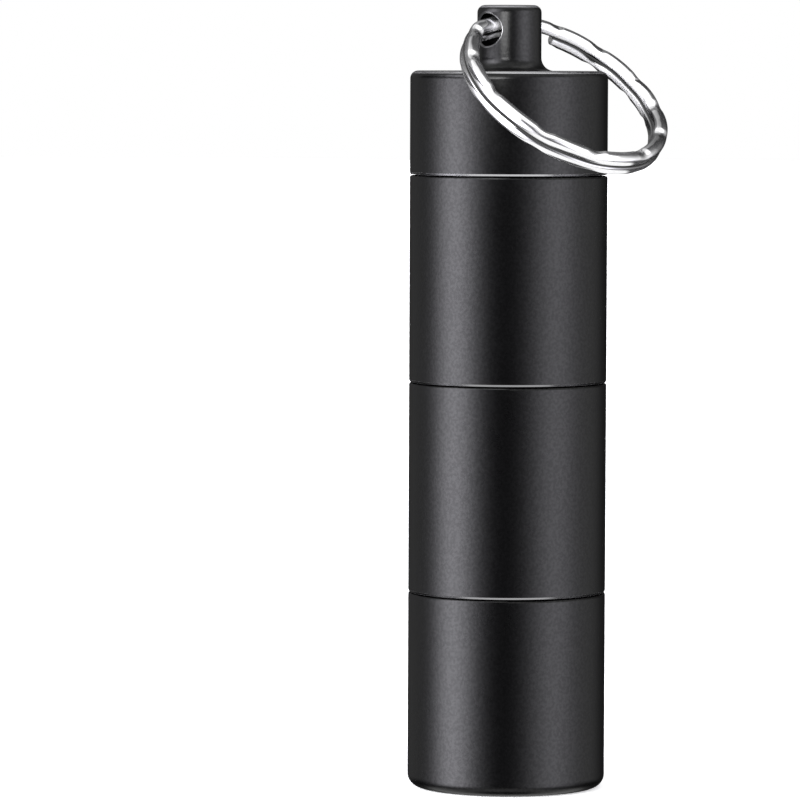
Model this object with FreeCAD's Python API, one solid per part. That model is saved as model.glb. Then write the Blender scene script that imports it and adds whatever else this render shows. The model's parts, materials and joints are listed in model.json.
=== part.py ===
import FreeCAD, Part
import math
import os

V = FreeCAD.Vector

# ---------------------------------------------------------------- dimensions
# Millimetres.  +Z up, origin at the centre of the flat base, so z = 0 is the
# table.  The front is -Y.

BODY_R = 11.25          # outside radius of the cap and of all three cups
LOWER_H = 22.25         # visible height of the lower cup
MIDDLE_H = 23.95        # visible height of the middle cup
UPPER_H = 23.6          # visible height of the upper cup
CAP_H = 11.9            # visible height of the cap without its knob

SEAM_GAP = 0.14         # shadow gap the seal holds between shoulder and skirt
BASE_ROUND = 1.45       # rounding of the bottom edge
SHOULDER_ROUND = 0.24   # rounding of each cup's shoulder edge
SKIRT_CHAMFER = 0.22    # height of the bright bevel on each skirt's lower edge
SKIRT_INSET = 0.10      # how far that bevel leans in
CAP_ROUND = 0.9         # rounding of the cap's top edge

KNOB_R = 3.65           # key ring knob on the cap
KNOB_H = 7.45
KNOB_TOP_ROUND = 0.85
KNOB_FLARE = 1.5        # concave flare where the knob runs into the cap
HOLE_R = 1.85           # cross hole through the knob
HOLE_UP = 4.63           # hole centre above the cap top
HOLE_CHAMFER = 0.2

CAVITY_R = 7.6          # inside of each cup
CUP_FLOOR = 1.8         # thickness of each cup's floor
CAVITY_ROUND = 1.0      # rounding between wall and floor inside
MOUTH_BREAK = 0.2       # broken inner edge at each mouth

NECK_H = 6.5            # neck standing above each shoulder
GROOVE_R = 8.5          # seal groove at the foot of the neck
GROOVE_H = 1.7
LAND_R = 9.45           # collar over the groove
LAND_TOP = 2.1
THREAD_PITCH = 1.25
THREAD_MAJOR_R = 9.4
THREAD_MINOR_R = 8.8
THREAD_CREST = 0.125    # half of the crest's width
THREAD_FLANK = math.tan(math.radians(30.0))
NECK_LEAD = 0.9         # 45 degree lead at the top of the neck

SEAL_BORE_R = 10.03     # smooth bore in each skirt that closes on the seal
SEAL_BORE_H = 2.45
SOCKET_H = 6.9          # depth of each threaded socket above its seam
NUT_CREST_R = 8.95
NUT_ROOT_R = 9.55
NUT_PLAY = 0.1155       # extra half width of the nut's groove
RELIEF_R = 9.7          # run-out above the nut thread
RELIEF_FROM = 6.25
SOCKET_BREAK = 0.2      # broken inner edge at the skirt's mouth
CAP_HOLLOW = 1.9        # hollow over the socket inside the cap

CORD_R = 0.71           # seal cord
CORD_MEAN_R = 9.24
CORD_UP = 0.85          # cord centre above the shoulder

RING_OUT_R = 12.7       # split ring, 25.4 mm across
WIRE_W = 1.66           # wire, across the ring's radius
WIRE_T = 1.28           # wire, along the ring's axis
WIRE_ROUND = 0.55       # corners on the outside of the ring
WIRE_SEAM_ROUND = 0.22  # corners towards the other coil
COIL_GAP = 0.04         # air between the two coils
RING_REACH = 11.5       # hole axis to ring centre
RING_LIFT = 0.30        # ring's middle plane above the hole axis
RING_BEARING = 46.5     # degrees, hole axis turned from front to the left
RING_LEAN = 39.4        # degrees, ring leaning down from level
COIL_END = 26.5         # degrees from the hole to the outer cut end
STEP_FROM = 4.0         # degrees, where the wire starts to change layer
STEP_TO = -22.0         # degrees, where it has reached the upper layer
INNER_END = 6.0         # degrees from the hole to the inner cut end

# ------------------------------------------------------------------- levels
Z_LOWER = LOWER_H                    # seam on top of the lower cup
Z_MIDDLE = Z_LOWER + MIDDLE_H        # seam on top of the middle cup
Z_UPPER = Z_MIDDLE + UPPER_H         # seam on top of the upper cup
Z_CAP = Z_UPPER + CAP_H              # flat top of the cap
Z_HOLE = Z_CAP + HOLE_UP


# ------------------------------------------------------------------ helpers
def outline(start, steps):
    """Closed (r, z) outline made of lines and of arcs given by a middle point."""
    edges = []
    here = V(start[0], 0, start[1])
    first = here
    for step in steps:
        if len(step) == 2:
            there = V(step[0], 0, step[1])
            edges.append(Part.makeLine(here, there))
        else:
            mid = V(step[0], 0, step[1])
            there = V(step[2], 0, step[3])
            edges.append(Part.Arc(here, mid, there).toShape())
        here = there
    if here.distanceToPoint(first) > 1e-7:
        edges.append(Part.makeLine(here, first))
    return Part.Face(Part.Wire(edges))


def turned(start, steps):
    return outline(start, steps).revolve(V(0, 0, 0), V(0, 0, 1), 360)


def rounded(cx, cz, radius, deg_mid, deg_end):
    """Arc step about a centre, given by its middle and end angles."""
    m, e = math.radians(deg_mid), math.radians(deg_end)
    return (cx + radius * math.cos(m), cz + radius * math.sin(m),
            cx + radius * math.cos(e), cz + radius * math.sin(e))


def helical_ridge(r_in, r_out, extra, z_from, z_to):
    """Right-hand ridge of the thread; extra widens it for the nut's groove."""
    h_in = THREAD_CREST + (THREAD_MAJOR_R - r_in) * THREAD_FLANK + extra
    h_out = THREAD_CREST + (THREAD_MAJOR_R - r_out) * THREAD_FLANK + extra
    helix = Part.makeLongHelix(THREAD_PITCH, z_to - z_from, r_in)
    helix.translate(V(0, 0, z_from))
    profile = Part.makePolygon([
        V(r_in, 0, z_from - h_in), V(r_out, 0, z_from - h_out),
        V(r_out, 0, z_from + h_out), V(r_in, 0, z_from + h_in),
        V(r_in, 0, z_from - h_in)])
    ridge = Part.Wire(helix).makePipeShell([profile], True, True)
    if ridge.Volume < 0:
        ridge.reverse()
    return ridge


def neck(seam):
    """Threaded neck over a shoulder, from inside its collar to its mouth."""
    core = Part.makeCylinder(THREAD_MINOR_R, NECK_H - 1.0, V(0, 0, seam + 1.5))
    ridge = helical_ridge(THREAD_MINOR_R - 0.2, THREAD_MAJOR_R, 0.0,
                          seam + 1.0, seam + 1.0 + 5.5 * THREAD_PITCH)
    top = seam + NECK_H
    lead = NECK_LEAD
    envelope = turned((0, seam + 1.9), [
        (BODY_R, seam + 1.9), (BODY_R, top - lead),
        (THREAD_MAJOR_R, top - lead), (THREAD_MAJOR_R - lead, top), (0, top)])
    return core.fuse(ridge).common(envelope)


def cup_outside(foot, seam, base):
    """Turned blank of a cup up to the collar of its neck."""
    steps = []
    if base:
        c = BASE_ROUND
        start = (0, foot)
        steps += [(BODY_R - c, foot),
                  rounded(BODY_R - c, foot + c, c, -45, 0)]
    else:
        z = foot + SEAM_GAP
        start = (0, z)
        steps += [(BODY_R - SKIRT_INSET, z), (BODY_R, z + SKIRT_CHAMFER)]
    s = SHOULDER_ROUND
    steps += [(BODY_R, seam - s),
              rounded(BODY_R - s, seam - s, s, 45, 90),
              (GROOVE_R, seam), (GROOVE_R, seam + GROOVE_H),
              (LAND_R, seam + GROOVE_H), (LAND_R, seam + LAND_TOP - 0.15),
              (LAND_R - 0.15, seam + LAND_TOP), (0, seam + LAND_TOP)]
    return turned(start, steps)


def cavity(floor, mouth):
    """Room inside a cup from its floor to its broken mouth edge."""
    r, c, b = CAVITY_R, CAVITY_ROUND, MOUTH_BREAK
    return turned((0, floor), [
        (r - c, floor), rounded(r - c, floor + c, c, -45, 0),
        (r, mouth - b), (r + b, mouth), (r + b, mouth + 1), (0, mouth + 1)])


def socket(seam, end_steps):
    """Smooth seal bore, nut bore and run-out of a socket, without its thread."""
    z = seam + SEAM_GAP
    b = SOCKET_BREAK
    return turned((0, z - 1), [
        (SEAL_BORE_R + b, z - 1), (SEAL_BORE_R + b, z),
        (SEAL_BORE_R, z + b), (SEAL_BORE_R, seam + SEAL_BORE_H),
        (NUT_CREST_R + 0.3, seam + SEAL_BORE_H),
        (NUT_CREST_R, seam + SEAL_BORE_H + 0.3),
        (NUT_CREST_R, seam + RELIEF_FROM), (RELIEF_R, seam + RELIEF_FROM),
        (RELIEF_R, seam + SOCKET_H)] + end_steps)


def nut_thread(seam):
    """Groove of the nut thread, from the seal bore into the run-out."""
    ridge = helical_ridge(NUT_CREST_R - 0.1, NUT_ROOT_R, NUT_PLAY,
                          seam + 1.0, seam + 1.0 + 5.5 * THREAD_PITCH)
    reach = (RELIEF_FROM + SOCKET_H) / 2
    return ridge.common(Part.makeCylinder(BODY_R, reach, V(0, 0, seam)))


def cup(foot, seam, base):
    body = cup_outside(foot, seam, base).fuse(neck(seam))
    if base:
        floor = foot + CUP_FLOOR
    else:
        floor = foot + SOCKET_H + CUP_FLOOR
        body = body.cut(socket(foot, [(0, foot + SOCKET_H)]))
        body = body.cut(nut_thread(foot))
    return body.cut(cavity(floor, seam + NECK_H))


# -------------------------------------------------------------------- pieces
def make_cap():
    z0 = Z_UPPER + SEAM_GAP
    c, k, f, t = CAP_ROUND, KNOB_R, KNOB_FLARE, KNOB_TOP_ROUND
    top = Z_CAP + KNOB_H
    body = turned((0, z0), [
        (BODY_R - SKIRT_INSET, z0), (BODY_R, z0 + SKIRT_CHAMFER),
        (BODY_R, Z_CAP - c), rounded(BODY_R - c, Z_CAP - c, c, 45, 90),
        (k + f, Z_CAP), rounded(k + f, Z_CAP + f, f, 225, 180),
        (k, top - t), rounded(k - t, top - t, t, 45, 90), (0, top)])
    b = math.radians(RING_BEARING)
    axis = V(-math.sin(b), -math.cos(b), 0)
    hole = Part.makeCylinder(HOLE_R, 30, V(0, 0, Z_HOLE) - axis * 15, axis)
    body = body.cut(hole)
    rims = [e for e in body.Edges
            if abs(e.CenterOfMass.z - Z_HOLE) < 0.3
            and max(abs(v.Point.z - Z_HOLE) for v in e.Vertexes) < HOLE_R + 0.05
            and 2.0 < math.hypot(e.CenterOfMass.x, e.CenterOfMass.y) < 4.5]
    body = body.makeChamfer(HOLE_CHAMFER, rims)
    hollow = Z_UPPER + SOCKET_H + CAP_HOLLOW
    body = body.cut(socket(Z_UPPER, [
        (CAVITY_R, Z_UPPER + SOCKET_H),
        (CAVITY_R, hollow - CAVITY_ROUND),
        rounded(CAVITY_R - CAVITY_ROUND, hollow - CAVITY_ROUND, CAVITY_ROUND, 45, 90),
        (0, hollow)]))
    return body.cut(nut_thread(Z_UPPER))


def make_seal(seam):
    return Part.makeTorus(CORD_MEAN_R, CORD_R, V(0, 0, seam + CORD_UP), V(0, 0, 1))


def make_split_ring():
    """Two flat coils joined by one stepped length of wire through the hole.

    Local frame: x along the hole axis to the front left, y from the hole to
    the ring's centre, z the ring's axis.  Angles run from the hole; positive
    is the front left side of it.
    """
    mid_r = RING_OUT_R - WIRE_W / 2
    layer = (WIRE_T + COIL_GAP) / 2

    def section(at, side):
        """Wire section; side runs from -1 in the lower coil to 1 in the upper."""
        a = math.radians(-90.0 + at)
        rad, up = V(math.cos(a), math.sin(a), 0), V(0, 0, 1)
        o = rad * mid_r + up * (layer * side)
        x, z = WIRE_W / 2, WIRE_T / 2
        more = WIRE_ROUND - WIRE_SEAM_ROUND
        t = WIRE_SEAM_ROUND + more * (1 + side) / 2
        d = WIRE_SEAM_ROUND + more * (1 - side) / 2
        k = 1 - math.sqrt(0.5)

        def p(i, j):
            return o + rad * i + up * j

        edges = [
            Part.makeLine(p(-x + d, -z), p(x - d, -z)),
            Part.Arc(p(x - d, -z), p(x - d * k, -z + d * k), p(x, -z + d)).toShape(),
            Part.makeLine(p(x, -z + d), p(x, z - t)),
            Part.Arc(p(x, z - t), p(x - t * k, z - t * k), p(x - t, z)).toShape(),
            Part.makeLine(p(x - t, z), p(-x + t, z)),
            Part.Arc(p(-x + t, z), p(-x + t * k, z - t * k), p(-x, z - t)).toShape(),
            Part.makeLine(p(-x, z - t), p(-x, -z + d)),
            Part.Arc(p(-x, -z + d), p(-x + d * k, -z + d * k), p(-x + d, -z)).toShape()]
        return Part.Wire(edges)

    down = V(0, 0, -1)
    lower = Part.Face(section(-COIL_END, -1.0)).revolve(
        V(0, 0, 0), down, 360.0 - COIL_END - STEP_FROM)
    upper = Part.Face(section(STEP_TO, 1.0)).revolve(
        V(0, 0, 0), down, 360.0 + STEP_TO - INNER_END)
    rows = []
    count = 12
    for i in range(count + 1):
        s = i / count
        rise = s * s * s * (s * (6 * s - 15) + 10)
        rows.append(section(STEP_FROM + (STEP_TO - STEP_FROM) * s,
                            2 * rise - 1))
    step = Part.makeLoft(rows, True, False)
    if step.Volume < 0:
        step.reverse()
    ring = lower.fuse([step, upper])

    b, t = math.radians(RING_BEARING), math.radians(RING_LEAN)
    u = V(-math.sin(b), -math.cos(b), 0)
    v = V(math.cos(b), -math.sin(b), 0)
    w = v * math.cos(t) - V(0, 0, 1) * math.sin(t)
    n = u.cross(w)
    o = V(0, 0, Z_HOLE) + w * RING_REACH + n * RING_LIFT
    ring.Placement = FreeCAD.Placement(FreeCAD.Matrix(
        u.x, w.x, n.x, o.x,
        u.y, w.y, n.y, o.y,
        u.z, w.z, n.z, o.z,
        0, 0, 0, 1))
    return ring


PIECES = {
    "lower_pill_cup": cup(0.0, Z_LOWER, True),
    "lower_seal_ring": make_seal(Z_LOWER),
    "middle_pill_cup": cup(Z_LOWER, Z_MIDDLE, False),
    "middle_seal_ring": make_seal(Z_MIDDLE),
    "upper_pill_cup": cup(Z_MIDDLE, Z_UPPER, False),
    "upper_seal_ring": make_seal(Z_UPPER),
    "cap": make_cap(),
    "split_ring": make_split_ring(),
}

os.makedirs("parts", exist_ok=True)
for name, shape in PIECES.items():
    solids = shape.Solids
    assert len(solids) == 1, (name, len(solids))
    solid = solids[0]
    assert solid.isValid() and solid.Volume > 0, name
    solid.exportStep("parts/%s.step" % name)
    box = solid.BoundBox
    print("%-18s %9.2f mm3  x %.2f..%.2f  y %.2f..%.2f  z %.2f..%.2f  faces %d" % (
        name, solid.Volume, box.XMin, box.XMax, box.YMin, box.YMax,
        box.ZMin, box.ZMax, len(solid.Faces)))
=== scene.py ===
import json
import math

import bpy
import numpy as np
from mathutils import Matrix, Vector


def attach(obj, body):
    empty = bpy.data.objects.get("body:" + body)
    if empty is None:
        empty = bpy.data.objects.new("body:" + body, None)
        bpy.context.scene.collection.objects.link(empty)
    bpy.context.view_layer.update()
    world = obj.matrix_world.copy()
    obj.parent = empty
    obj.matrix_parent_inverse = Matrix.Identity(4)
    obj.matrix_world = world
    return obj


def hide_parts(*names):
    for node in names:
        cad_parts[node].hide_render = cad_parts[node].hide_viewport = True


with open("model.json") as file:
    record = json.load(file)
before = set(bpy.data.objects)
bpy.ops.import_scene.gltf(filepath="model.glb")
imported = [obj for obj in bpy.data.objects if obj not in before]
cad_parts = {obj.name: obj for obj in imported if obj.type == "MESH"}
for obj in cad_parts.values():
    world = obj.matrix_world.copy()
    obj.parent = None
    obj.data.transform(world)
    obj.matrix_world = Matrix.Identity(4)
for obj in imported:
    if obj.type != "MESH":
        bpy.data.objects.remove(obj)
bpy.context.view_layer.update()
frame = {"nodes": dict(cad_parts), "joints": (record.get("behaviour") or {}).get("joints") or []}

MM = 0.001
SEAMS = (22.25 * MM, 46.20 * MM, 69.80 * MM)   # tops of the three cups
CAP_TOP, KNOB_TOP = 81.70 * MM, 89.15 * MM


# ------------------------------------------------------------------ node tools
class Nodes:
    """Builds a node tree: numbers or sockets go in, sockets come out."""

    def __init__(self, tree):
        self.tree = tree
        tree.nodes.clear()

    def add(self, kind, **settings):
        node = self.tree.nodes.new(kind)
        for key, value in settings.items():
            setattr(node, key, value)
        return node

    def put(self, socket, value):
        if isinstance(value, bpy.types.NodeSocket):
            self.tree.links.new(value, socket)
        else:
            socket.default_value = value

    def math(self, operation, a, b=None, clamp=False):
        node = self.add("ShaderNodeMath", operation=operation, use_clamp=clamp)
        self.put(node.inputs[0], a)
        if b is not None:
            self.put(node.inputs[1], b)
        return node.outputs[0]

    def total(self, values):
        values = list(values)
        out = values[0]
        for value in values[1:]:
            out = self.math("ADD", out, value)
        return out

    def times(self, *values):
        out = values[0]
        for value in values[1:]:
            out = self.math("MULTIPLY", out, value)
        return out

    def ramp(self, value, low, high, at_low=0.0, at_high=1.0):
        node = self.add("ShaderNodeMapRange", interpolation_type="SMOOTHSTEP")
        self.put(node.inputs[0], value)
        for i, v in enumerate((low, high, at_low, at_high)):
            node.inputs[i + 1].default_value = v
        return node.outputs[0]

    def window(self, value, low, high, soft):
        return self.times(self.ramp(value, low - soft, low + soft),
                          self.ramp(value, high - soft, high + soft, 1.0, 0.0))

    def bell(self, value, centre, width):
        off = self.math("DIVIDE", self.math("SUBTRACT", value, centre), width)
        return self.math("EXPONENT", self.times(off, off, -1.0))

    def lobe(self, value, centre, below, above):
        """A bell with its own width on each side of its centre."""
        off = self.math("SUBTRACT", value, centre)
        under = self.times(self.math("MINIMUM", off, 0.0), 1.0 / below)
        over = self.times(self.math("MAXIMUM", off, 0.0), 1.0 / above)
        both = self.math("ADD", under, over)
        return self.math("EXPONENT", self.times(both, both, -1.0))

    def noise(self, vector, scale, detail=2.0, roughness=0.5):
        node = self.add("ShaderNodeTexNoise")
        self.put(node.inputs["Vector"], vector)
        node.inputs["Scale"].default_value = scale
        node.inputs["Detail"].default_value = detail
        node.inputs["Roughness"].default_value = roughness
        return node.outputs[0]

    def mix(self, factor, a, b):
        node = self.add("ShaderNodeMix", data_type="RGBA", clamp_factor=True)
        self.put(node.inputs[0], factor)
        self.put(node.inputs[6], a)
        self.put(node.inputs[7], b)
        return node.outputs[2]

    def blend(self, factor, a, b):
        node = self.add("ShaderNodeMix", data_type="FLOAT", clamp_factor=True)
        self.put(node.inputs[0], factor)
        self.put(node.inputs[2], a)
        self.put(node.inputs[3], b)
        return node.outputs[0]

    def bump(self, height, distance, normal=None):
        node = self.add("ShaderNodeBump")
        node.inputs["Strength"].default_value = 1.0
        node.inputs["Distance"].default_value = distance
        self.put(node.inputs["Height"], height)
        if normal is not None:
            self.put(node.inputs["Normal"], normal)
        return node.outputs[0]

    def place(self):
        """Position in the part's own frame, and its x, y, z and distance from the axis."""
        spot = self.add("ShaderNodeTexCoord").outputs["Object"]
        split = self.add("ShaderNodeSeparateXYZ")
        self.put(split.inputs[0], spot)
        x, y, z = split.outputs
        r = self.math("SQRT", self.math("ADD", self.times(x, x), self.times(y, y)))
        return spot, x, y, z, r


def new_material(name):
    mat = bpy.data.materials.new(name)
    mat.use_nodes = True
    g = Nodes(mat.node_tree)
    shader = g.add("ShaderNodeBsdfPrincipled")
    out = g.add("ShaderNodeOutputMaterial")
    g.put(out.inputs["Surface"], shader.outputs[0])
    return mat, g, shader


def gray(v, blue=1.0):
    return (v, v, v * blue, 1.0)


# ------------------------------------------------------------------- materials
def anodised(name, bevels=(), necks=(), rims=(), hole=None, bare_tone=0.42):
    """Bead-blasted black anodised aluminium with bare machined bevels.

    bevels: seam levels whose skirt bevel is on this piece.
    necks: seam levels whose threaded neck is on this piece.
    rims: (low, high, inner radius, outer radius, amount) of top edges made bare metal so their highlight line comes
    out brighter: a painted highlight.
    hole: centre and sideways direction of the knob's cross hole, whose lip is bare metal, made brighter towards one
    side of the hole as a painted highlight.
    bare_tone: how bright the bare metal is on this piece; it differs from piece to piece so each seam's bevel
    highlight comes out brighter or dimmer: a painted highlight strength.
    """
    mat, g, shader = new_material(name)
    spot, x, y, z, r = g.place()
    grain = g.noise(spot, 6500.0, 2.0, 0.55)
    mottle = g.noise(spot, 1300.0, 3.0, 0.6)
    cloud = g.noise(spot, 65.0, 2.0, 0.5)

    bare = []
    for level in bevels:
        band = g.window(z, level + 0.145 * MM, level + 0.352 * MM, 0.012 * MM)
        bare.append(g.times(band, g.ramp(r, 11.05 * MM, 11.12 * MM)))
    for level in necks:
        band = g.window(z, level + 2.15 * MM, level + 6.4 * MM, 0.1 * MM)
        crest = g.ramp(r, 9.24 * MM, 9.40 * MM)
        rubbed = g.ramp(g.noise(spot, 1900.0, 3.0, 0.6), 0.36, 0.66)
        bare.append(g.times(band, crest, rubbed, 0.55))
    # bare metal on the top edges, there to brighten their highlight line: a painted highlight
    for low, high, inner, outer, amount in rims:
        band = g.window(z, low, high, 0.06 * MM)
        ring = g.window(r, inner, outer, 0.05 * MM)
        bare.append(g.times(band, ring, g.math("ADD", 0.55, g.times(mottle, 0.9)), amount))
    if hole is not None:
        centre, across = hole
        side = g.math("ADD", g.times(x, across.x), g.times(y, across.y))
        rise = g.math("SUBTRACT", z, centre.z)
        off = g.math("SQRT", g.math("ADD", g.times(side, side), g.times(rise, rise)))
        lip = g.window(off, 1.87 * MM, 2.06 * MM, 0.02 * MM)
        # the lip's brightness rising towards one side of the hole is a painted highlight
        lit_side = g.ramp(side, -0.6 * MM, 0.9 * MM, 0.06, 0.60)
        bare.append(g.times(lip, g.ramp(r, 2.9 * MM, 3.05 * MM), lit_side))
    uneven = g.math("SUBTRACT", g.math("ADD", g.times(mottle, 0.6), g.times(cloud, 0.8)), 0.7)
    black = g.mix(g.math("ADD", g.times(cloud, 0.6), g.times(mottle, 0.4)),
                  gray(0.0004, 1.10), gray(0.0011, 1.14))
    rough = g.math("ADD", 0.285, g.times(uneven, 0.07))
    amount = bare[0]
    for more in bare[1:]:
        amount = g.math("MAXIMUM", amount, more)
    g.put(shader.inputs["Base Color"], g.mix(amount, black, gray(bare_tone, 1.02)))
    pits = g.ramp(g.noise(spot, 3100.0, 1.0, 0.5), 0.34, 0.66, 0.0, 0.21)
    g.put(shader.inputs["Metallic"], g.math("MAXIMUM", amount, pits))
    g.put(shader.inputs["Roughness"], g.blend(amount, rough, 0.20))
    shader.inputs["Specular IOR Level"].default_value = 0.247
    g.put(shader.inputs["Normal"],
          g.bump(mottle, 0.000012, g.bump(grain, 0.0000045)))
    return mat


def rubber(name):
    """Smooth black nitrile with a faint moulding line and dust."""
    mat, g, shader = new_material(name)
    spot, x, y, z, r = g.place()
    fine = g.noise(spot, 5200.0, 3.0, 0.6)
    dust = g.noise(spot, 420.0, 4.0, 0.62)
    line = g.window(r, 9.935 * MM, 9.96 * MM, 0.008 * MM)
    tone = g.mix(g.ramp(dust, 0.52, 0.78), gray(0.010), gray(0.030))
    g.put(shader.inputs["Base Color"], g.mix(line, tone, gray(0.045)))
    g.put(shader.inputs["Roughness"], g.math("ADD", 0.42, g.times(dust, 0.22)))
    g.put(shader.inputs["Normal"], g.bump(fine, 0.000006))
    return mat


def bright_plate(name):
    """Bright nickel plate on hammered spring wire, rougher on the inside of the coils, with a paler plate painted
    there as a painted reflection, and dark tones painted between the coils, under the far lower edge, on the flats
    and on the two ends as painted shade and painted reflections.
    """
    mat, g, shader = new_material(name)
    spot, x, y, z, r = g.place()
    along = g.add("ShaderNodeAttribute", attribute_name="along").outputs["Fac"]
    around = g.add("ShaderNodeAttribute", attribute_name="around").outputs["Fac"]
    seam = g.add("ShaderNodeAttribute", attribute_name="painted_shade_reflection").outputs["Fac"]
    inner = g.add("ShaderNodeAttribute", attribute_name="rough_and_painted_pale").outputs["Fac"]
    stretch = g.add("ShaderNodeCombineXYZ")
    g.put(stretch.inputs[0], g.times(along, 160.0))
    g.put(stretch.inputs[1], g.times(around, 46.0))
    drawn = g.noise(stretch.outputs[0], 1.0, 4.0, 0.65)
    haze = g.noise(spot, 700.0, 3.0, 0.6)
    wave = g.noise(spot, 330.0, 1.0, 0.4)
    plate = g.mix(haze, (0.80, 0.80, 0.81, 1.0), (0.70, 0.70, 0.705, 1.0))
    # paler, less metallic plate on the inside faces near the hole: a painted reflection
    plate = g.mix(inner, plate, (0.93, 0.93, 0.935, 1.0))
    # dark tone from the ring's dark mask: painted shade between the coils and under the far edge, painted dark
    # reflections on the flats and ends
    g.put(shader.inputs["Base Color"], g.mix(g.times(seam, 0.97), plate, gray(0.010)))
    pale = g.times(inner, g.math("SUBTRACT", 1.0, seam))
    g.put(shader.inputs["Metallic"], g.blend(pale, 0.95, 0.15))
    rough = g.math("ADD", 0.03, g.times(g.ramp(haze, 0.35, 0.75), 0.05))
    rough = g.math("ADD", rough, g.times(g.ramp(drawn, 0.55, 0.75), 0.06))
    g.put(shader.inputs["Roughness"], g.math("ADD", rough, g.times(inner, 0.22)))
    g.put(shader.inputs["Normal"], g.bump(wave, 0.00004))
    return mat


# ------------------------------------------------------------------ split ring
def smooth(lo, hi, v):
    t = np.clip((v - lo) / (hi - lo), 0.0, 1.0)
    return t * t * (3.0 - 2.0 * t)


def split_ring():
    """Two hammered coils of one wire, joined by the step that runs through the hole.

    Angles run from the hole; positive is the front left side of it.  The wire
    starts at its outer cut end in the lower coil and winds on through the step
    to its inner cut end in the upper coil.
    """
    joint = next(j for j in frame["joints"] if j["name"] == "ring_swing")
    hole, u = Vector(joint["pos_m"]), Vector(joint["axis"]).normalized()
    lean = math.radians(40.0)
    up = Vector((0.0, 0.0, 1.0))
    out = up.cross(u)
    w = out * math.cos(lean) - up * math.sin(lean)
    n = u.cross(w)
    centre = hole + w * (11.5 * MM) + n * (0.30 * MM)

    wide, thick, layer, drop = 1.66, 1.25, 0.640, 0.035
    mid = 12.7 - wide / 2
    first, step_from, step_to, last = -29.3, -356.0, -382.0, -714.0

    # hammer marks: angle, depth and half length, struck through both coils
    marks = ((36.0, 0.15, 5.0), (64.0, 0.15, 5.4), (93.0, 0.15, 6.4),
             (129.5, 0.17, 6.6), (161.5, 0.16, 6.6), (195.5, 0.15, 6.0),
             (226.0, 0.15, 5.6), (253.5, 0.15, 5.4), (277.0, 0.14, 5.6),
             (305.0, 0.14, 5.8), (331.0, 0.10, 5.0))

    # flats hammered on the far upper coil: angle of the deepest point, length each way, depth
    flats = ((329.0, 8.5, 3.0, 0.20), (302.0, 10.5, 4.0, 0.22), (276.0, 1.4, 14.0, 0.20))

    def bumps(at, scale):
        total = np.zeros_like(at)
        for where, depth, half in marks:
            d = (at - where + 180.0) % 360.0 - 180.0
            t = np.clip(1.0 - (d / (half * scale)) ** 2, 0.0, None)
            total += depth * t * t
        return total

    angles = np.linspace(first, last, 1500)
    ends = np.array([0.0, 0.06, 0.18, 0.40])
    angles = np.unique(np.concatenate([angles, first - ends, last + ends]))[::-1]
    count = 44
    rows, along, around, seam, inner = [], [], [], [], []
    dense = np.linspace(0.0, 2.0 * math.pi, 720, endpoint=False)
    for a in angles:
        s = np.clip((a - step_from) / (step_to - step_from), 0.0, 1.0)
        rise = s * s * s * (s * (6.0 * s - 15.0) + 10.0)
        side = 2.0 * rise - 1.0
        at = a % 360.0
        far = abs((at + 180.0) % 360.0 - 180.0)
        free = float(smooth(20.0, 36.0, np.array(far)))
        struck = float(smooth(18.0, 28.0, np.array(far)))

        # section: rounder on the outside of the ring, flatter towards the other coil
        cs, sn = np.cos(dense), np.sin(dense)
        flat = 0.5 - 0.5 * np.sign(sn) * side
        power = np.where(cs < 0, 2.15, 2.7) + 1.5 * flat
        px = np.sign(cs) * np.abs(cs) ** (2.0 / power) * wide / 2
        py = np.sign(sn) * np.abs(sn) ** (2.0 / power) * thick / 2
        gap = np.hypot(np.diff(np.append(px, px[0])), np.diff(np.append(py, py[0])))
        run = np.concatenate([[0.0], np.cumsum(gap)])
        want = np.linspace(0.0, run[-1], count, endpoint=False)
        px = np.interp(want, run, np.append(px, px[0]))
        py = np.interp(want, run, np.append(py, py[0]))

        flatter = py
        for peak, before, after, depth in flats:
            off = at - peak
            t = max(0.0, 1.0 - (off / before if off > 0.0 else -off / after))
            if t > 0.0 and rise > 0.99:
                flatter = np.minimum(flatter, 0.70 - depth * t ** 0.7 - 0.12 * px)
        flattened = smooth(0.0, 0.02, py - flatter)
        py = flatter

        at1 = np.array([at])
        dent = float(bumps(at1 + (1.1 if side < 0 else 0.0), 1.0)[0]) * struck
        swell = float(bumps(at1, 2.1)[0]) * free
        face = smooth(0.05, 1.0, py * side / (thick / 2))
        inside = smooth(-0.30, 1.0, -px / (wide / 2))
        qx = px + dent * inside * (0.15 + 0.65 * face)
        qy = py - side * dent * face * (0.85 + 0.35 * inside)
        slow = math.radians(a)
        qx = qx - 0.14 * swell - 0.012 * (1.0 + math.sin(7.0 * slow + 0.7)) * free
        qy = qy - 0.50 * swell * (rise + (1.0 - rise) * (py / thick + 0.5))

        qx = qx + 0.26 * max(0.0, 1.0 - ((at - 30.0) / 11.0) ** 2) ** 2

        shrink = 1.0
        tip = min(abs(a - first), abs(a - last))
        if tip < 0.40:
            shrink = 1.0 - 0.16 * (1.0 - math.sqrt(max(0.0, 1.0 - (1.0 - tip / 0.40) ** 2)))
        qx, qy = qx * shrink, qy * shrink

        ar = math.radians(-90.0 + a)
        radial = u * math.cos(ar) + w * math.sin(ar)
        base = centre + n * ((side * layer - drop) * MM)
        rows.append([base + radial * ((mid + i) * MM) + n * (j * MM) for i, j in zip(qx, qy)])
        along.append(math.radians(first - a) * mid * MM)
        around.append(want / run[-1])
        # the part of the loop nearest the hole, which gets the painted pale reflection and a narrower painted shade
        # between the coils
        painted_zone = float(1.0 - smooth(14.0, 26.0, np.array(at)) * (1.0 - smooth(246.0, 268.0, np.array(at))))
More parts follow.
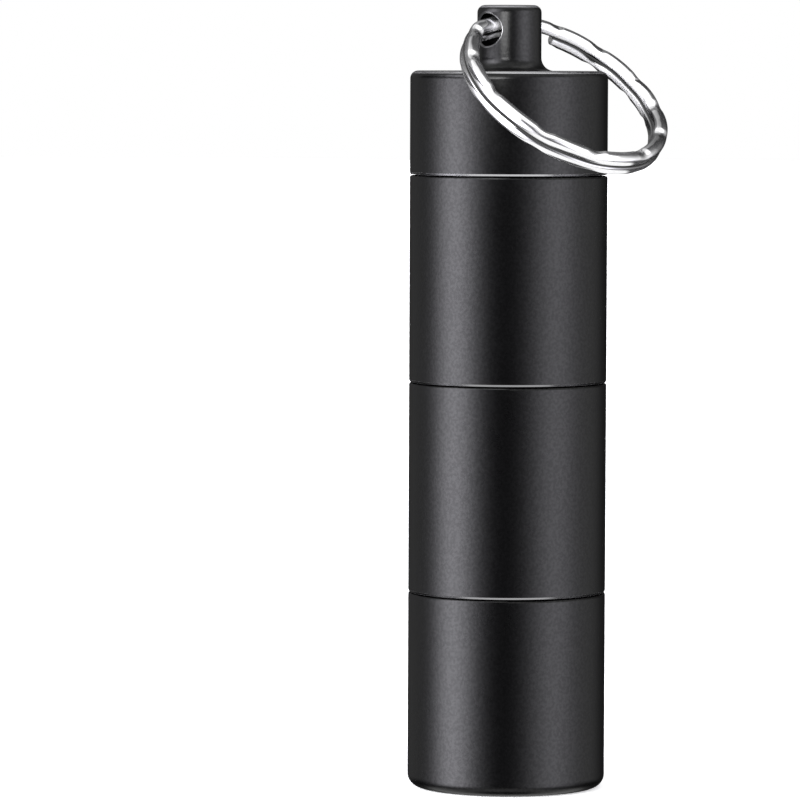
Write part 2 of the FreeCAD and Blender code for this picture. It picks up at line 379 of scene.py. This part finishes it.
        # painted shade between the coils and under the far lower edge, and a light painted dark reflection on the
        # hammered flats
        seam_from = 0.42 + 0.18 * painted_zone - 0.36 * math.exp(-((at - 304.0) / 4.5) ** 2)
        dark = smooth(seam_from, seam_from + 0.50 - 0.22 * painted_zone, -py * side / (thick / 2))
        dark = np.maximum(dark, 0.22 * flattened)
        under = smooth(0.02, 0.32, -py / (thick / 2)) * smooth(-0.2, 0.3, -px / (wide / 2))
        dark = np.maximum(dark, 0.85 * float(smooth(246.0, 268.0, np.array(at))) * (1.0 - rise) * under)
        # painted dark reflection on the two tight ends of the loop, left off the lip of each mark so its glint shows
        ends = (0.58 * float(smooth(196.0, 216.0, np.array(at)) * (1.0 - smooth(244.0, 264.0, np.array(at))))
                + 0.36 * float(smooth(24.0, 36.0, np.array(at)) * (1.0 - smooth(58.0, 76.0, np.array(at)))))
        lips = sum(math.exp(-((at - lip) / 3.0) ** 2) for lip in (32.0, 60.0, 198.5, 229.0, 256.5))
        dark = np.maximum(dark, ends * max(0.0, 1.0 - lips))
        seam.append(dark)
        # paler, rougher plate on the inside faces near the hole: a painted pale reflection, with a real rise in
        # roughness
        inner.append(painted_zone * smooth(0.05, 0.75, -px / (wide / 2)) * smooth(-0.62, -0.22, py / (thick / 2))
                     * (1.0 - 0.95 * flattened))

    verts = [tuple(p) for row in rows for p in row]
    faces = []
    for i in range(len(rows) - 1):
        for k in range(count):
            k2 = (k + 1) % count
            faces.append((i * count + k, i * count + k2, (i + 1) * count + k2, (i + 1) * count + k))
    faces.append(tuple(range(count))[::-1])
    tail = (len(rows) - 1) * count
    faces.append(tuple(range(tail, tail + count)))
    mesh = bpy.data.meshes.new("hammered_split_ring")
    mesh.from_pydata(verts, [], faces)
    for poly in mesh.polygons:
        poly.use_smooth = len(poly.vertices) == 4
    for key, data in (("along", np.repeat(along, count)), ("around", np.concatenate(around)),
                      ("painted_shade_reflection", np.concatenate(seam)), ("rough_and_painted_pale", np.concatenate(inner))):
        mesh.attributes.new(key, "FLOAT", "POINT").data.foreach_set("value", data.astype(np.float32))
    mesh.validate()
    mesh.update()
    ring = bpy.data.objects.new("hammered_split_ring", mesh)
    bpy.context.scene.collection.objects.link(ring)
    ring.data.materials.append(bright_plate("bright_nickel_plate"))
    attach(ring, "key_ring")
    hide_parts("split_ring")
    ring.visible_glossy = False
    return ring


# ---------------------------------------------------------------------- finish
def dress(node, mat):
    obj = frame["nodes"][node]
    if not obj.material_slots:
        obj.data.materials.append(mat)
    for s in obj.material_slots:
        s.material = mat


swing = next(j for j in frame["joints"] if j["name"] == "ring_swing")
knob_hole = (Vector(swing["pos_m"]), Vector((0.0, 0.0, 1.0)).cross(Vector(swing["axis"]).normalized()))
# bare_tone differs per piece so the same bare bevel shows a brighter or dimmer highlight at each seam: a painted
# highlight strength
dress("lower_pill_cup", anodised("black_anodised_lower", necks=(SEAMS[0],)))
dress("middle_pill_cup", anodised("black_anodised_middle", bevels=(SEAMS[0],), necks=(SEAMS[1],), bare_tone=0.29))
dress("upper_pill_cup", anodised("black_anodised_upper", bevels=(SEAMS[1],), necks=(SEAMS[2],), bare_tone=0.26))
dress("cap", anodised(
    "black_anodised_cap", bevels=(SEAMS[2],), hole=knob_hole, bare_tone=0.44,
    rims=((CAP_TOP - 0.27 * MM, CAP_TOP - 0.06 * MM, 10.5 * MM, 11.3 * MM, 0.95),
          (KNOB_TOP - 0.27 * MM, KNOB_TOP - 0.06 * MM, 2.6 * MM, 3.6 * MM, 0.35))))
seal = rubber("black_nitrile")
for node in ("lower_seal_ring", "middle_seal_ring", "upper_seal_ring"):
    dress(node, seal)
split_ring()


# ----------------------------------------------------------------- floor, light
def pale_floor():
    half, cells = 4.0, 8
    step = 2.0 * half / cells
    verts = [(-half + i * step, -half + j * step, -0.00002) for j in range(cells + 1) for i in range(cells + 1)]
    faces = [(j * (cells + 1) + i, j * (cells + 1) + i + 1, (j + 1) * (cells + 1) + i + 1, (j + 1) * (cells + 1) + i)
             for j in range(cells) for i in range(cells)]
    mesh = bpy.data.meshes.new("pale_floor")
    mesh.from_pydata(verts, [], faces)
    floor = bpy.data.objects.new("pale_floor", mesh)
    bpy.context.scene.collection.objects.link(floor)
    mat, g, shader = new_material("matt_white_table")
    spot = g.place()[0]
    g.put(shader.inputs["Base Color"],
          g.mix(g.noise(spot, 9.0, 2.0, 0.5), (0.90, 0.90, 0.90, 1.0), (0.92, 0.92, 0.92, 1.0)))
    shader.inputs["Roughness"].default_value = 0.9
    shader.inputs["Specular IOR Level"].default_value = 0.1
    shader.inputs["Emission Color"].default_value = (1.0, 1.0, 1.0, 1.0)
    shader.inputs["Emission Strength"].default_value = 0.48
    floor.data.materials.append(mat)
    floor.visible_glossy = False


def soft_studio():
    """Two tall side boxes, an overhead box and a white table, with a dim room round them."""
    world = bpy.data.worlds.new("soft_studio")
    bpy.context.scene.world = world
    world.use_nodes = True
    g = Nodes(world.node_tree)
    split = g.add("ShaderNodeSeparateXYZ")
    spot = g.add("ShaderNodeTexCoord").outputs["Generated"]
    g.put(split.inputs[0], spot)
    x, y, z = split.outputs
    turn = g.times(g.math("ARCTAN2", x, g.times(y, -1.0)), 180.0 / math.pi)
    rise = g.times(g.math("ARCSINE", z), 180.0 / math.pi)
    tall = g.times(g.ramp(rise, -44.0, -22.0), g.ramp(rise, 20.0, 36.0, 1.0, 0.0))
    taller = g.times(g.ramp(rise, -44.0, -22.0), g.ramp(rise, 34.0, 54.0, 1.0, 0.0))
    left = g.times(g.lobe(turn, -64.5, 22.5, 24.3), taller, 11.4)
    right = g.times(g.lobe(turn, 56.5, 27.3, 27.0), tall, 4.95)
    behind = g.ramp(y, 0.0, 0.5)
    top = g.times(g.ramp(g.math("SUBTRACT", z, g.times(behind, 0.28)), 0.50, 0.66), g.ramp(y, 0.0, 0.45, 1.30, 0.85))
    aside = g.math("ADD", g.bell(turn, -82.0, 26.0), g.bell(turn, 82.0, 26.0))
    table = g.times(g.ramp(g.math("ADD", z, g.times(aside, 0.13)), -0.68, -0.58, 1.0, 0.0),
                    g.ramp(z, -0.965, -0.925), 1.25)
    walls = g.times(g.total([g.times(g.bell(turn, 94.0, 17.0), 0.50), g.times(g.bell(turn, 112.0, 20.0), 0.52),
                             g.times(g.bell(turn, -112.0, 16.0), 0.20), g.times(g.bell(turn, -130.0, 26.0), 0.20)]),
                    g.ramp(rise, -21.0, -9.0))
    cloud = g.ramp(g.noise(spot, 3.1, 1.0, 0.5), 0.42, 0.58, 0.02, 0.26)
    middle = g.bell(g.math("ABSOLUTE", turn), 180.0, 20.0)
    back = g.times(g.math("ADD", g.ramp(z, 0.52, 0.72), g.times(g.ramp(z, 0.0, 0.25), middle, 0.8)), behind, cloud)
    boxes = g.add("ShaderNodeBackground")
    boxes.inputs["Color"].default_value = (0.985, 0.975, 1.045, 1.0)
    g.put(boxes.inputs["Strength"], g.math("ADD", left, right))
    rest = g.add("ShaderNodeBackground")
    rest.inputs["Color"].default_value = (1.0, 1.0, 1.0, 1.0)
    g.put(rest.inputs["Strength"], g.total([top, table, walls, back, 0.02]))
    shade = g.add("ShaderNodeAddShader")
    g.put(shade.inputs[0], boxes.outputs[0])
    g.put(shade.inputs[1], rest.outputs[0])
    white = g.add("ShaderNodeBackground")
    white.inputs["Color"].default_value = (1.0, 1.0, 1.0, 1.0)
    white.inputs["Strength"].default_value = 1.0
    pick = g.add("ShaderNodeMixShader")
    g.put(pick.inputs[0], g.add("ShaderNodeLightPath").outputs["Is Camera Ray"])
    g.put(pick.inputs[1], shade.outputs[0])
    g.put(pick.inputs[2], white.outputs[0])
    out = g.add("ShaderNodeOutputWorld")
    g.put(out.inputs["Surface"], pick.outputs[0])


def knob_light():
    """A small soft box in front of the knob, and a black flag that keeps the left box off the knob."""
    data = bpy.data.lights.new("knob_light", "AREA")
    data.shape = "RECTANGLE"
    data.size, data.size_y = 0.0165, 0.0108
    data.energy = 17.0 * math.pi * data.size * data.size_y
    lamp = bpy.data.objects.new("knob_light", data)
    bpy.context.scene.collection.objects.link(lamp)
    turn = math.radians(-16.3)
    spot = Vector((math.sin(turn) * 0.040, -math.cos(turn) * 0.040, 0.0897))
    lamp.location = spot
    lamp.rotation_euler = (Vector((0.0, 0.0, spot.z)) - spot).to_track_quat("-Z", "Y").to_euler()
    lamp.visible_camera = False

    turn, reach, half = math.radians(-78.0), 0.030, 0.0190
    middle = Vector((math.sin(turn) * reach, -math.cos(turn) * reach, 0.0))
    across = Vector((math.cos(turn), math.sin(turn), 0.0)) * half
    low, high = Vector((0.0, 0.0, 0.0834)), Vector((0.0, 0.0, 0.0906))
    mesh = bpy.data.meshes.new("black_flag")
    mesh.from_pydata([tuple(middle - across + low), tuple(middle + across + low),
                      tuple(middle + across + high), tuple(middle - across + high)], [], [(0, 1, 2, 3)])
    flag = bpy.data.objects.new("black_flag", mesh)
    bpy.context.scene.collection.objects.link(flag)
    mat, g, shader = new_material("black_velvet")
    g.put(shader.inputs["Base Color"], g.mix(g.noise(g.place()[0], 900.0), gray(0.004), gray(0.008)))
    shader.inputs["Roughness"].default_value = 1.0
    shader.inputs["Specular IOR Level"].default_value = 0.0
    flag.data.materials.append(mat)
    flag.visible_camera = False


def photo_camera():
    data = bpy.data.cameras.new("photo_camera")
    data.sensor_fit = "HORIZONTAL"
    data.sensor_width = 36.0
    data.lens = 5646.8 / 800.0 * 36.0
    data.clip_start, data.clip_end = 0.02, 50.0
    camera = bpy.data.objects.new("photo_camera", data)
    bpy.context.scene.collection.objects.link(camera)
    pitch, pan, roll = math.radians(3.457), math.radians(-1.093), math.radians(0.229)
    ahead = Vector((math.sin(pan) * math.cos(pitch), math.cos(pan) * math.cos(pitch), -math.sin(pitch)))
    right = Vector((math.cos(pan), -math.sin(pan), 0.0))
    up = right.cross(ahead)
    r2 = right * math.cos(roll) + up * math.sin(roll)
    u2 = up * math.cos(roll) - right * math.sin(roll)
    m = Matrix((r2, u2, -ahead)).transposed().to_4x4()
    m.translation = Vector((0.0, -0.643, 0.083))
    camera.matrix_world = m
    bpy.context.scene.camera = camera


pale_floor()
soft_studio()
knob_light()
photo_camera()
settings = bpy.context.scene.view_settings
settings.view_transform = "Standard"
settings.look = "None"
settings.exposure = 0.0
settings.gamma = 1.0
